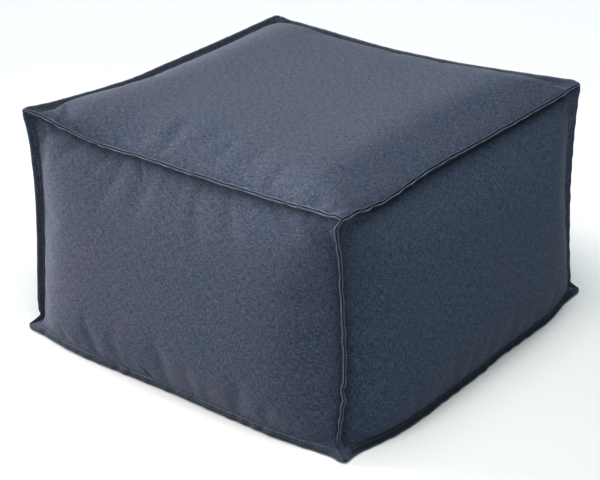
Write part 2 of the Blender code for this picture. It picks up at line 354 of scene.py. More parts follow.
def panelPoints(panel, u, v, fullness=1.0):
    # the outside of a panel: a patch between its four seams, crowned by the filling
    axis, sign = panels[panel]
    first, second = panelAxes(panel)
    low, high = [panelSeam(panel, second, end) for end in (-1, 1)]
    left, right = [panelSeam(panel, first, end) for end in (-1, 1)]
    ends = np.array((-1.0, 1.0))
    across = ((u + 1) / 2)[:, None]
    along = ((v + 1) / 2)[:, None]
    lowEnds = evenSeam(low, ends)
    highEnds = evenSeam(high, ends)
    points = evenSeam(left, v) * (1 - across) + evenSeam(right, v) * across
    points += evenSeam(low, u) * (1 - along) + evenSeam(high, u) * along
    points -= (lowEnds[0] * (1 - across) + lowEnds[1] * across) * (1 - along)
    points -= (highEnds[0] * (1 - across) + highEnds[1] * across) * along
    pulls = ((left, 1 - across, v), (right, across, v), (low, 1 - along, u), (high, along, u))
    for name, weight, places in pulls:
        points += wanderShift(name, places) * seams[name]["follow"] * weight ** pouf["wanderFade"]
    if panel == "bottom":
        power = pouf["baseSwell"]
        flat = (1 - np.abs(u) ** power) * (1 - np.abs(v) ** power) / pouf["baseFlatShare"]
        points[:, 2] *= 1 - np.clip(flat, 0, 1)
    elif panel == "top":
        power, even = pouf["topSwell"], pouf["topEvenShare"]
        points[:, 2] += fullness * pouf["topCrown"] * swell(u, power, even) * swell(v, power, even)
    else:
        even = pouf["evenShare"]
        upright = np.where(v < 0, swell(v, pouf["lowSwell"], even), swell(v, pouf["highSwell"], even))
        crown = swell(u, pouf["sideSwell"], even) * upright
        points[:, axis] += fullness * sign * pouf["sideCrown"] * crown
    return points


# The woven cloth. A noise is its spots to the metre, its detail and its roughness, and a tone is how strongly
# it lightens and darkens the yarn.
clothLook = {
    "slate": (0.026, 0.039, 0.064),
    "violet": (0.036, 0.039, 0.063),
    # painted shade: the darker, bluer colour of the panels on the shadow side
    "panelShadeColour": (0.018, 0.031, 0.056),
    "panelShadeShare": {"right": 0.60, "back": 0.20},  # painted shade: how far each shadow-side panel's colour is pulled towards the darker shade colour
    # painted shade: the near-black colour of the cloth in nooks, creases and gaps
    "paintedShadeColour": (0.003, 0.004, 0.007),
    # the paler colour of a border's outer edge, partly wear and partly a painted highlight on its lit crest
    "wornLitEdge": (0.125, 0.150, 0.208),
    "threadPitch": 0.00115,
    "dashes": 8,                   # how many threads long each lighter or darker dash of yarn is
    "dashNoise": (1.0, 2.0, 0.6),  # in threads instead of metres
    "dashTone": 1.8,
    "grainNoise": (480.0, 2.0, 0.6),
    "grainTone": 0.45,
    "speckNoise": (340.0, 1.0, 0.5),
    "speckTone": 1.0,              # of the small knots in the yarn
    "patchNoise": (55.0, 3.0, 0.6),
    "patchTone": 0.08,
    "driftNoise": (13.0, 3.0, 0.55),
    "driftSpread": 2.0,            # how sharply the cloth turns from slate to violet
    "paleGrey": 0.65,
    "crossings": 0.35,             # how much the threads' crossings stand out beside their own thickness
    "bump": 0.35,
    "bumpDepth": 0.00025,
    "roughness": 0.92,
    "specular": 0.15,
    "sheen": 0.04,
    "sheenRoughness": 0.45,
}


# Creases and dents in the front panel that are finer than the body's grid, darkened with painted shade: where
# the middle of each is, how many degrees it is turned from level, its length and width in metres, how dark
# its painted shade is and how deep it looks
creases = (
    {"at": (-0.034, -0.310, 0.019), "turn": -51, "size": (0.040, 0.0105), "dark": 0.52, "deep": 1.0},
    {"at": (0.052, -0.308, 0.0145), "turn": -27, "size": (0.018, 0.0062), "dark": 0.70, "deep": 0.9},
    {"at": (0.218, -0.300, 0.0140), "turn": 6, "size": (0.044, 0.0052), "dark": 0.50, "deep": 0.7},
    {"at": (0.236, -0.300, 0.0240), "turn": -14, "size": (0.036, 0.0040), "dark": 0.22, "deep": 0.5},
    {"at": (-0.125, -0.275, 0.319), "turn": -5, "size": (0.070, 0.018), "dark": 0.22, "deep": 0.6},
    {"at": (-0.062, -0.278, 0.310), "turn": -60, "size": (0.034, 0.012), "dark": 0.20, "deep": 0.6},
    {"at": (0.070, -0.277, 0.317), "turn": 2, "size": (0.100, 0.014), "dark": 0.20, "deep": 0.5},
)
creaseLook = {
    "thickness": 0.05,             # through the panel, so that the settled cloth stays inside it
    "fullness": 1.6,               # how much of its width is fully dark
    "softness": 0.4,
    "bump": 0.8,
    "bumpDepth": 0.002,
}


def nodeOf(tree, kind, **settings):
    node = tree.nodes.new(kind)
    for key, value in settings.items():
        setattr(node, key, value)
    return node


def setSockets(node, values):
    for label, value in values.items():
        node.inputs[label].default_value = value


def mathNode(tree, operation, *values):
    node = nodeOf(tree, "ShaderNodeMath", operation=operation)
    for number, value in enumerate(values):
        if isinstance(value, bpy.types.NodeSocket):
            tree.links.new(value, node.inputs[number])
        else:
            node.inputs[number].default_value = value
    return node.outputs[0]


def stretched(tree, coordinates, scale):
    node = nodeOf(tree, "ShaderNodeMapping")
    setSockets(node, {"Scale": scale})
    tree.links.new(coordinates, node.inputs["Vector"])
    return node.outputs["Vector"]


def noise(tree, coordinates, scale, detail, roughness):
    node = nodeOf(tree, "ShaderNodeTexNoise")
    setSockets(node, {"Scale": scale, "Detail": detail, "Roughness": roughness})
    tree.links.new(coordinates, node.inputs["Vector"])
    return node.outputs["Fac"]


def pointValue(tree, name):
    return nodeOf(tree, "ShaderNodeAttribute", attribute_name=name).outputs["Fac"]


def bumped(tree, height, strength, depth, under=None):
    node = nodeOf(tree, "ShaderNodeBump")
    setSockets(node, {"Strength": strength, "Distance": depth})
    tree.links.new(height, node.inputs["Height"])
    if under:
        tree.links.new(under, node.inputs["Normal"])
    return node.outputs["Normal"]


def mixColours(tree, factor, first, second):
    node = nodeOf(tree, "ShaderNodeMix", data_type="RGBA", blend_type="MIX")
    for socket, value in ((node.inputs[0], factor), (node.inputs[6], first), (node.inputs[7], second)):
        if isinstance(value, bpy.types.NodeSocket):
            tree.links.new(value, socket)
        elif isinstance(value, tuple):
            socket.default_value = (*value, 1.0)
        else:
            socket.default_value = value
    return node.outputs[2]


def startMaterial(name):
    material = bpy.data.materials.new(name)
    material.use_nodes = True
    tree = material.node_tree
    return material, tree, tree.nodes["Principled BSDF"]


def creaseMask(tree, crease):
    # a spindle of that length and width: 1 along its middle, 0 at its edge and at both tips
    place = nodeOf(tree, "ShaderNodeMapping", vector_type="TEXTURE")
    length, width = crease["size"]
    setSockets(place, {
        "Location": crease["at"],
        "Rotation": (0, -math.radians(crease["turn"]), 0),
        "Scale": (length / 2, creaseLook["thickness"], width / 2),
    })
    tree.links.new(nodeOf(tree, "ShaderNodeTexCoord").outputs["Object"], place.inputs["Vector"])
    spindle = nodeOf(tree, "ShaderNodeTexGradient", gradient_type="SPHERICAL")
    tree.links.new(place.outputs["Vector"], spindle.inputs["Vector"])
    full = mathNode(tree, "MULTIPLY", spindle.outputs["Fac"], creaseLook["fullness"])
    return mathNode(tree, "SMOOTH_MIN", full, 1.0, creaseLook["softness"])


def clothMaterial(name, wearAndHighlightColour=None, folds=()):
    # plain woven outdoor cloth: two sets of uneven threads over a slow drift between slate and violet
    material, tree, shader = startMaterial(name)
    weave = nodeOf(tree, "ShaderNodeUVMap", uv_map="weave").outputs["UV"]
    threads = 1 / clothLook["threadPitch"]
    dashes = threads / clothLook["dashes"]
    # each thread has its own tone, which changes slowly along it
    warp = noise(tree, stretched(tree, weave, (threads, dashes, 1)), *clothLook["dashNoise"])
    weft = noise(tree, stretched(tree, weave, (dashes, threads, 1)), *clothLook["dashNoise"])
    slubs = mathNode(tree, "ADD", warp, weft)
    tone = mathNode(tree, "MULTIPLY_ADD", slubs, clothLook["dashTone"], 1 - clothLook["dashTone"])
    for field in ("grain", "speck", "patch"):
        spots = noise(tree, weave, *clothLook[field + "Noise"])
        amount = clothLook[field + "Tone"]
        tone = mathNode(tree, "MULTIPLY_ADD", spots, amount, mathNode(tree, "SUBTRACT", tone, amount / 2))
    drift = noise(tree, weave, *clothLook["driftNoise"])
    spread = clothLook["driftSpread"]
    hue = mathNode(tree, "MULTIPLY_ADD", drift, spread, 0.5 - spread / 2)
    colour = mixColours(tree, hue, clothLook["slate"], clothLook["violet"])
    # painted shade: the shadow-side panels are pulled towards a darker, bluer colour
    colour = mixColours(tree, pointValue(tree, "paintedPanelShade"), colour, clothLook["panelShadeColour"])
    yarn = nodeOf(tree, "ShaderNodeHueSaturation")
    tree.links.new(colour, yarn.inputs["Color"])
    tree.links.new(tone, yarn.inputs["Value"])
    # paler yarn is greyer too
    grey = clothLook["paleGrey"]
    tree.links.new(mathNode(tree, "MULTIPLY_ADD", tone, -grey, 1 + grey), yarn.inputs["Saturation"])
    # painted shade: the cloth darkens towards near-black beside seams, in the gaps between borders and on
    # their outer edges
    result = mixColours(tree, pointValue(tree, "shade"), yarn.outputs["Color"], clothLook["paintedShadeColour"])
    deep = 0.0
    # each crease is darkened with painted shade, and dents the bump
    for crease in folds:
        mask = creaseMask(tree, crease)
        result = mixColours(tree, mathNode(tree, "MULTIPLY", mask, crease["dark"]), result, clothLook["paintedShadeColour"])
        deep = mathNode(tree, "MULTIPLY_ADD", mask, -crease["deep"], deep)
    # the border's outer edge is paler: partly wear and partly a painted highlight on its lit crest
    if wearAndHighlightColour:
        result = mixColours(tree, pointValue(tree, "wearAndHighlight"), result, wearAndHighlightColour)
    tree.links.new(result, shader.inputs["Base Color"])
    # over and under of the threads, as a fine egg-crate height
    split = nodeOf(tree, "ShaderNodeSeparateXYZ")
    tree.links.new(stretched(tree, weave, (math.pi * threads, math.pi * threads, 1)), split.inputs[0])
    over = mathNode(tree, "MULTIPLY", *[mathNode(tree, "SINE", split.outputs[way]) for way in (0, 1)])
    height = mathNode(tree, "MULTIPLY_ADD", over, clothLook["crossings"], slubs)
    under = bumped(tree, deep, creaseLook["bump"], creaseLook["bumpDepth"]) if folds else None
    normal = bumped(tree, height, clothLook["bump"], clothLook["bumpDepth"], under)
    tree.links.new(normal, shader.inputs["Normal"])
    setSockets(shader, {
        "Roughness": clothLook["roughness"],
        "Specular IOR Level": clothLook["specular"],
        "Sheen Weight": clothLook["sheen"],
        "Sheen Roughness": clothLook["sheenRoughness"],
    })
    return material


threadLook = {
    "dark": (0.10, 0.13, 0.19),
    "light": (0.22, 0.25, 0.33),
    "twistNoise": (2600.0, 2.0, 0.6),
    "sunkNoise": (22.0, 2.0, 0.6),
    "sunk": (4.0, -1.6),           # how sharply the thread sinks into the cloth in places, and from where
    "roughness": 0.7,
}


def threadMaterial():
    material, tree, shader = startMaterial("sewing thread")
    place = nodeOf(tree, "ShaderNodeTexCoord").outputs["Object"]
    twist = noise(tree, place, *threadLook["twistNoise"])
    thread = mixColours(tree, twist, threadLook["dark"], threadLook["light"])
    sunk = mathNode(tree, "MULTIPLY_ADD", noise(tree, place, *threadLook["sunkNoise"]), *threadLook["sunk"])
    sunk.node.use_clamp = True
    thread = mixColours(tree, sunk, thread, clothLook["slate"])
    # painted shade: in a nook the thread is darkened as much as the cloth there
    thread = mixColours(tree, pointValue(tree, "shade"), thread, clothLook["paintedShadeColour"])
    tree.links.new(thread, shader.inputs["Base Color"])
    setSockets(shader, {"Roughness": threadLook["roughness"]})
    return material


def putInScene(name, data):
    thing = bpy.data.objects.new(name, data)
    bpy.context.scene.collection.objects.link(thing)
    return thing


bodyShape = {
    "levelCells": 72,
    "uprightCells": 44,
    "crowding": 0.66,
    "weaveOffset": (1.37, 0.71),   # from one panel's weave to the next panel's
    "sewDistance": 0.00002,
    "startFullness": 0.95,         # the cloth starts a little slack, then the filling presses it out
    "pressure": 4.0,
    "slackShare": 0.010,           # spare length of cloth, which gathers beside the seams
    "frames": 20,
    "mostMove": 0.009,             # how far a point may settle
    "seamHold": 0.005,             # cloth this near to a seam is held by it
    # Cloth's own settings for this weave
    "settling": {"quality": 6, "mass": 0.25, "tension_stiffness": 25, "compression_stiffness": 25,
                 "shear_stiffness": 8, "bending_stiffness": 0.8, "air_damping": 2.0},
}


def nookShade(panel, u, v):
    # painted shade: 0 on open cloth, rising towards each of the panel's four seams
    dark = np.zeros(len(u))
    for other, places in zip(panelAxes(panel), (u, v)):
        for end in (-1, 1):
            look = seamShades.get((panel, panelSeam(panel, other, end)), plainShade)
            way = (1 - end * places) * halfSize(other) / (look["reach"] * millimetre)
            dark = 1 - (1 - dark) * (1 - look["depth"] * np.exp(-way))
    return dark


def crownedBody():
    # six crowned panels on fine grids, sewn along their twelve seams
    made = bmesh.new()
    weave = made.loops.layers.uv.new("weave")
    sewn = made.edges.layers.float.new("crease_edge")
    held = made.verts.layers.float.new("held")
    shade = made.verts.layers.float.new("shade")
    paintedPanelShade = made.verts.layers.float.new("paintedPanelShade")
    cells = {0: bodyShape["levelCells"], 1: bodyShape["levelCells"], 2: bodyShape["uprightCells"]}
    for number, panel in enumerate(panels):
        axes = panelAxes(panel)
        us, vs = [crowd(np.linspace(-1, 1, cells[axis] + 1), bodyShape["crowding"]) for axis in axes]
        u, v = [values.ravel() for values in np.meshgrid(us, vs, indexing="ij")]
        halfWide, halfHigh = [halfSize(axis) for axis in axes]
        weaveU = u * halfWide + number * bodyShape["weaveOffset"][0]
        weaveV = v * halfHigh + number * bodyShape["weaveOffset"][1]
        verts = [made.verts.new(point) for point in panelPoints(panel, u, v, bodyShape["startFullness"])]
        rows = len(vs)
        for i in range(len(us) - 1):
            for j in range(rows - 1):
                corners = [i * rows + j, (i + 1) * rows + j, (i + 1) * rows + j + 1, i * rows + j + 1]
                face = made.faces.new([verts[corner] for corner in corners])
                face.smooth = True
                for loop, corner in zip(face.loops, corners):
                    loop[weave].uv = (weaveU[corner], weaveV[corner])
        edgeWay = np.minimum((1 - np.abs(u)) * halfWide, (1 - np.abs(v)) * halfHigh)
        for vert, way, dark in zip(verts, edgeWay, nookShade(panel, u, v)):
            vert[held] = 1.0 if panel == "bottom" or way < bodyShape["seamHold"] else 0.0
            # painted shade in the nook beside each seam
            vert[shade] = dark
            # painted shade over the whole of a shadow-side panel
            vert[paintedPanelShade] = clothLook["panelShadeShare"].get(panel, 0.0)
        for edge in {edge for vert, way in zip(verts, edgeWay) if way < tiny for edge in vert.link_edges}:
            if edge.is_boundary:
                edge[sewn] = 1.0
                edge.smooth = False
    bmesh.ops.remove_doubles(made, verts=made.verts[:], dist=bodyShape["sewDistance"])
    bmesh.ops.recalc_face_normals(made, faces=made.faces[:])
    mesh = bpy.data.meshes.new("filled_cloth")
    made.to_mesh(mesh)
    made.free()
    return putInScene("filled_cloth", mesh)


def coordinatesOf(mesh):
    flat = np.zeros(len(mesh.vertices) * 3, np.float32)
    mesh.vertices.foreach_get("co", flat)
    return flat.reshape(-1, 3).astype(float)


def settleCloth(body):
    # the filling presses the panels out, and the spare cloth gathers into soft puckers beside the seams
    start = coordinatesOf(body.data)
    heldValues = np.zeros(len(start), np.float32)
    body.data.attributes["held"].data.foreach_get("value", heldValues)
    copy = putInScene("settling_cloth", body.data.copy())
    group = copy.vertex_groups.new(name="held")
    group.add([int(number) for number in np.nonzero(heldValues > 0.5)[0]], 1.0, "REPLACE")
    cloth = copy.modifiers.new("Cloth", "CLOTH")
    settings = cloth.settings
    for key, value in bodyShape["settling"].items():
        setattr(settings, key, value)
    settings.shrink_min = -bodyShape["slackShare"]
    settings.use_pressure = True
    settings.uniform_pressure_force = bodyShape["pressure"]
    settings.vertex_group_mass = "held"
    settings.effector_weights.gravity = 0.0
    cloth.point_cache.frame_start = 1
    cloth.point_cache.frame_end = bodyShape["frames"]
    for number in range(1, bodyShape["frames"] + 1):
        bpy.context.scene.frame_set(number)
    settled = copy.evaluated_get(bpy.context.evaluated_depsgraph_get())
    move = coordinatesOf(settled.data) - start
    bpy.data.objects.remove(copy, do_unlink=True)
    bpy.context.scene.frame_set(1)
    length = np.maximum(np.linalg.norm(move, axis=1), tiny)
    capped = bodyShape["mostMove"] * np.tanh(length / bodyShape["mostMove"])
    final = start + move * (capped / length)[:, None]
    final[:, 2] = np.maximum(final[:, 2], 0.0)
    body.data.vertices.foreach_set("co", final.astype(np.float32).ravel())
    print("cloth settled, largest move in mm:", round(float(capped.max()) / millimetre, 1),
          "median:", round(float(np.median(capped)) / millimetre, 1))


stitchLook = {
    "pitch": 0.0042,
    "length": 0.0029,
    "width": 0.00062,
    "unevenness": 0.12,
    "lift": 0.00012,               # how far the thread lies off the cloth
    "segments": 8,
    "rings": 5,
}
borderShape = {
    "stationStep": 0.0014,         # along a seam
    "crowding": 0.35,              # of the stations towards its two ends
    "stitchLine": 0.26,            # share of the width where the topstitching runs
    "dimple": 0.00018,             # how deep each stitch pulls the cloth
    "dimpleSpread": 0.16,          # over what share of the width
    "tipPull": 0.0035,             # how much shorter a border is at the very tip of an ear
    "tipRound": 0.0075,
    "mitreReach": 0.006,
    # at an ear on the floor: its tab, how far up and how much an upright border is pulled in above it, and
    # over what length and by what share its plies close up
    "floorEar": {"tab": 0.0049, "width": 0.012, "uprightWidth": 0.0075, "height": 0.016, "neck": 0.006,
                 "pull": 0.0030, "closed": 0.014, "closing": 0.72, "tipPull": 0.0060},
    "waveCount": 6,                # how many waves make up each unevenness
    "wobble": 0.00018,             # how far a border sways from side to side
    "floorWobble": 0.00008,
    "swayWaves": (8, 60),          # slowest and quickest, on a seam as long as swayLength
    "swayLength": 0.58,
    "swayFade": 0.06,
    "unevenness": 0.22,            # how much the folded edge's thickness varies
    "unevenWaves": (40, 320),      # radians to the metre
    "unevenSum": 2.4,              # what the waves add up to at most, more or less
    "seed": 40,
    "rootIn": 0.0045,              # how far in on the panel a border's foot begins
    "rootSink": 0.0007,
    "bend": (0.04, 0.0010),        # share of the way out and metres aside where the foot turns over
    "closingWay": 0.004,           # the weave's length on the strip that closes the section
    "lowest": 0.0002,              # nothing dips under the floor
}
# round a border's closed section: share of the way out, and millimetres to its own side of the seam
borderSection = (
    {"out": -0.16, "aside": 0.16},
    {"out": 0.20, "aside": 0.16},
    {"out": 0.55, "aside": 0.18},
    {"out": 0.80, "aside": 0.42},
    {"out": 0.93, "aside": 0.85},
    {"out": 0.985, "aside": 1.25},
    {"out": 1.00, "aside": 1.65},
    {"out": 0.985, "aside": 2.05},
    {"out": 0.93, "aside": 2.35},
    {"out": 0.84, "aside": 2.38},
    {"out": 0.68, "aside": 2.10},
    {"out": 0.48, "aside": 1.75},
    {"out": 0.34, "aside": 1.45},
    {"out": 0.26, "aside": 1.25},
)
foldFrom = 0.3                     # the section swells from so many millimetres aside
ownSideFrom = 1.0                  # and takes the stitches' dimples from so many
# then down into the panel: share of the way from the topstitching, and how far out the border's painted shade
# and paler edge take it
borderFoot = {"shares": (0.2, 0.4, 0.6, 0.8, 1.0), "outs": (0.2, 0.1, 0.0, 0.0, 0.0)}


def panelLoop(panel):
    # the panel's four seams in order round it, each with the direction in which the loop runs along it
    first, second = panelAxes(panel)
    route = ((second, -1, 1), (first, 1, 1), (second, 1, -1), (first, -1, -1))
    return [(panelSeam(panel, other, end), other, end, run) for other, end, run in route]


def unitRows(rows):
    return rows / np.linalg.norm(rows, axis=1)[:, None]


def wayAlong(points):
    # the way travelled to each point
    return np.concatenate([[0], np.cumsum(np.linalg.norm(np.diff(points, axis=0), axis=1))])


def borderSway(name, places, lengthAlong):
    random = np.random.default_rng(sum(ord(letter) for letter in name))
    phases = random.uniform(0, 2 * math.pi, borderShape["waveCount"])
    waves = random.uniform(*borderShape["swayWaves"], borderShape["waveCount"])
    waves = waves * lengthAlong / borderShape["swayLength"]
    wobble = borderShape["floorWobble" if name.startswith("base") else "wobble"]
    return sum(np.sin(wave * places + phase) for wave, phase in zip(waves, phases)) * wobble


def shapeEars(name, places, left, reach):
    # rounds a border off at its two ends, and gives each floor ear a small tab where the plies close up
    ear = borderShape["floorEar"]
    corners = seamEnds(name)[0]
    tipPulls = [(ear if corner[2] < 0 else borderShape)["tipPull"] for corner in corners]
    pull = np.where(places < 0, *tipPulls) * np.exp(-(left / borderShape["tipRound"]) ** 2)
    tabWidth = ear["width"]
    if name.startswith("upright"):
        # an upright border ends on top of the flat ear that lies on the floor
        above = np.where(places < 0, left, np.inf) - ear["height"]
        pull += ear["pull"] * np.exp(-(above / ear["neck"]) ** 2)
        tabWidth = ear["uprightWidth"]
    length = np.linalg.norm(reach, axis=1)
    reach = reach * ((length - pull) / length)[:, None]
    closed = np.zeros_like(places)
    for corner, near in zip(corners, (places < 0, places > 0)):
        if corner[2] < 0:
            tab = np.array((corner[0], corner[1], 0.0)) * ear["tab"]
            reach = reach + tab * (near * np.exp(-(left / tabWidth) ** 2))[:, None]
            closed = np.maximum(closed, near * np.exp(-(left / ear["closed"]) ** 2))
    return reach, closed


def borderRoot(panel, other, end, places):
    # where the foot flows out of the panel, a little way in from the seam
    inward = end * (1 - borderShape["rootIn"] / halfSize(other))
    inner = np.full_like(places, inward)
    limited = np.clip(places, -abs(inward), abs(inward))
    pair = (inner, limited) if other == panelAxes(panel)[0] else (limited, inner)
    return panelPoints(panel, *pair, fullness=bodyShape["startFullness"])


# How pale a border's outer edge is, partly wear and partly painted highlight, and how dark its painted shade
# is, by the share of the way out on its section
borderTone = {
    "wearAndHighlight": 0.55,                  # how pale the outer edge is: partly wear and partly a painted highlight on its lit crest
    "paleFrom": 0.80,
    "paleFade": 0.20,
    "leastPale": 0.35,
    "paleSpots": 240,
    "crestRow": 6,                 # the section's rows before this one face the gap between two borders
    "gapShade": 0.95,
    "gapEnd": 0.98,
    "gapFade": 0.12,
    "gapClosed": 0.9,              # how much of it goes where the plies close up
    "faceEnd": 0.97,
    "faceFade": 0.30,
    "cornerReach": 0.016,          # near an ear the nooks open and their painted shade is lighter by these shares
    "cornerLight": 0.9,
    "edgeLight": 0.6,
    "floorShade": 0.85,            # painted shade on the bottom's own border, which lies in the dark against the floor
}


def seamStations(panel, name, other, end, run):
    # foot, reach, own side and root of one border along one seam, and its look there, with its painted shade
    lengthAlong = np.linalg.norm(np.diff(seamPoints(name, placeGrid), axis=0), axis=1).sum()
    count = int(round(lengthAlong / borderShape["stationStep"]))
    places = run * crowd(np.linspace(-1, 1, count + 1), borderShape["crowding"])
    left = (1 - np.abs(places)) * lengthAlong / 2
    foot = seamPoints(name, places)
    reach = borderReach(name, places) + wanderShift(name, places) * (1 - seams[name]["follow"])
    tangent = unitRows(np.gradient(foot + reach * 0.5, axis=0))
    aside = unitRows(np.cross(reach, tangent))
    middle = panelPoints(panel, np.zeros(1), np.zeros(1))[0]
    if np.dot(aside[count // 2], middle - foot[count // 2]) < 0:
        aside = -aside
    swayWay = unitRows(np.cross(reach, tangent * run))  # the same for both of the seam's borders
    fade = np.clip((1 - np.abs(places)) / borderShape["swayFade"], 0, 1)
    reach = reach + swayWay * (borderSway(name, places, lengthAlong) * fade)[:, None]
    reach, closed = shapeEars(name, places, left, reach)
    look = seamShades.get((panel, name), plainShade)
    corner = np.exp(-(left / borderTone["cornerReach"]) ** 2)
    stations = {
        "foot": foot,
        "reach": reach,
        "aside": aside,
        "root": borderRoot(panel, other, end, places),
        "left": left,
        "closed": closed,
        # painted shade beside the seam and on the outer edge, lighter near an ear
        "dark": look["depth"] * (1 - borderTone["cornerLight"] * corner),
        "edge": look.get("edge", 0.0) * (1 - borderTone["edgeLight"] * corner),
    }
    for key, usual in (("edgeAt", 0.3), ("gap", 1.0), ("wearAndHighlight", 1.0)):
        stations[key] = np.full_like(places, look.get(key, usual))
    return stations


def borderLoop(panel):
    # the stations of all four seams joined into one ring, with mitred corners
    parts = [seamStations(panel, *step) for step in panelLoop(panel)]
    mitres = []
    for number, part in enumerate(parts):
        own, other = part["aside"][0], parts[number - 1]["aside"][-1]
        mitres.append((own + other) / (1 + np.dot(own, other)))
    travel = []
    total = 0.0
    for number, part in enumerate(parts):
        count = len(part["left"])
        half = count // 2
        nextMitre = mitres[(number + 1) % len(parts)]
        near = np.vstack([np.tile(mitres[number], (half, 1)), np.tile(nextMitre, (count - half, 1))])
        weight = np.exp(-(part["left"] / borderShape["mitreReach"]) ** 2)[:, None]
        part["aside"] = part["aside"] * (1 - weight) + near * weight
        way = wayAlong(part["foot"])
        travel.append(way[:-1] + total)
        total += way[-1]
    loop = {}
    for key in parts[0]:
        loop[key] = np.vstack([part[key][:-1].reshape(len(part["left"]) - 1, -1) for part in parts])
    loop["travel"] = np.concatenate(travel)
    loop["length"] = total
    return loop


def borderRings(loop, random):
    # the closed section carried round the loop, out over the folded edge and back down into the panel
    waves = random.uniform(*borderShape["unevenWaves"], borderShape["waveCount"])
    phases = random.uniform(0, 2 * math.pi, borderShape["waveCount"])
    swing = sum(np.sin(loop["travel"] * wave + phase) for wave, phase in zip(waves, phases))
    plump = 1 + borderShape["unevenness"] * swing / borderShape["unevenSum"]
    closing = 1 - borderShape["floorEar"]["closing"] * loop["closed"][:, 0]
    stitch = np.cos(loop["travel"] * 2 * math.pi / stitchLook["pitch"])
    rings = []
    for row in borderSection:
        aside = row["aside"] * millimetre * np.ones(len(stitch))
        if row["aside"] > foldFrom:
            aside = aside * plump * closing
        if row["aside"] > ownSideFrom:
            near = math.exp(-((row["out"] - borderShape["stitchLine"]) / borderShape["dimpleSpread"]) ** 2)
            aside = aside + borderShape["dimple"] * near * stitch
        rings.append(loop["foot"] + loop["reach"] * row["out"] + loop["aside"] * aside[:, None])
    groove = rings[-1]
    root = loop["root"] - loop["aside"] * borderShape["rootSink"]
    bendOut, bendAside = borderShape["bend"]
    bend = loop["foot"] + loop["reach"] * bendOut + loop["aside"] * bendAside
    for share in borderFoot["shares"]:
        rings.append(groove * (1 - share) ** 2 + bend * 2 * share * (1 - share) + root * share ** 2)
    rings = np.stack(rings, axis=1)
    rings[:, :, 2] = np.maximum(rings[:, :, 2], borderShape["lowest"])
    return rings, groove


def ringMesh(name, rings, loop):
    # faces all round the ring, with the weave laid along it and round its section in metres
    count, across = rings.shape[:2]
    travel = np.append(loop["travel"], loop["length"])
    sectionWay = wayAlong(rings[count // 8])
    sectionWay = np.append(sectionWay, sectionWay[-1] + borderShape["closingWay"])
    faces = []
    weaveValues = []
    for station in range(count):
        nextStation = (station + 1) % count
        for row in range(across):
            nextRow = (row + 1) % across
            faces.append((station * across + row, nextStation * across + row,
                          nextStation * across + nextRow, station * across + nextRow))
            weaveValues += [travel[station], sectionWay[row], travel[station + 1], sectionWay[row],
                            travel[station + 1], sectionWay[row + 1], travel[station], sectionWay[row + 1]]
    mesh = bpy.data.meshes.new(name)
    mesh.from_pydata(rings.reshape(-1, 3).tolist(), [], faces)
    mesh.uv_layers.new(name="weave").data.foreach_set("uv", np.array(weaveValues, np.float32))
    return mesh


def setPoints(mesh, name, values, kind="FLOAT"):
    # a value or a vector at every point, for the materials and the stitches
    layer = mesh.attributes.new(name, kind, "POINT")
    layer.data.foreach_set("value" if kind == "FLOAT" else "vector", values.astype(np.float32).ravel())


def toneBorder(mesh, panel, loop, random):
    # paler outer edge, partly wear and partly a painted highlight; painted shade in the gap between two
    # borders, in the nook beside the panel and on the outer edge
    outs = np.array([row["out"] for row in borderSection] + list(borderFoot["outs"]))
    gapSide = np.arange(len(outs)) < borderTone["crestRow"]
    face = np.clip((borderTone["faceEnd"] - outs) / borderTone["faceFade"], 0, 1) * ~gapSide
    # painted shade: the bottom's own border lies in the dark against the floor, and its edge is not painted
    # paler
    if panel == "bottom":
        loop["dark"] = np.full_like(loop["dark"], borderTone["floorShade"])
        loop["wearAndHighlight"] = np.zeros_like(loop["wearAndHighlight"])
        face = np.ones(len(outs))
    spots = random.uniform(borderTone["leastPale"], 1.0, borderTone["paleSpots"])
    paleAlong = np.interp(loop["travel"] / loop["length"], np.linspace(0, 1, len(spots)), spots)[:, None]
    wearAndHighlight = np.clip((outs - borderTone["paleFrom"]) / borderTone["paleFade"], 0, 1) * borderTone["wearAndHighlight"] * paleAlong
    setPoints(mesh, "wearAndHighlight", wearAndHighlight * loop["wearAndHighlight"] * (1 - loop["closed"]) * (loop["edge"] == 0))
    # painted shade in the gap between two borders, on the face beside the nook, and on the outer edge
    gap = np.clip((borderTone["gapEnd"] - outs) / borderTone["gapFade"], 0, 1) * gapSide
    gap = gap * borderTone["gapShade"] * loop["gap"] * (1 - borderTone["gapClosed"] * loop["closed"])
    outer = np.clip((outs - loop["edgeAt"]) / (borderTone["gapEnd"] - loop["edgeAt"]), 0, 1)
    setPoints(mesh, "shade", np.clip(gap + loop["dark"] * face + loop["edge"] * outer, 0, 1))


def buildBorder(panel, material):
    loop = borderLoop(panel)
    random = np.random.default_rng(borderShape["seed"] + list(panels).index(panel))
    rings, groove = borderRings(loop, random)
    mesh = ringMesh(panel + "_border_cloth", rings, loop)
    toneBorder(mesh, panel, loop, random)
    mesh.shade_smooth()
    made = bmesh.new()
    made.from_mesh(mesh)
    bmesh.ops.recalc_face_normals(made, faces=made.faces[:])
    made.to_mesh(mesh)
    made.free()
    mesh.materials.append(material)
    stitchPath = groove + loop["aside"] * stitchLook["lift"]
    return putInScene(panel + "_border_cloth", mesh), stitchPath, loop


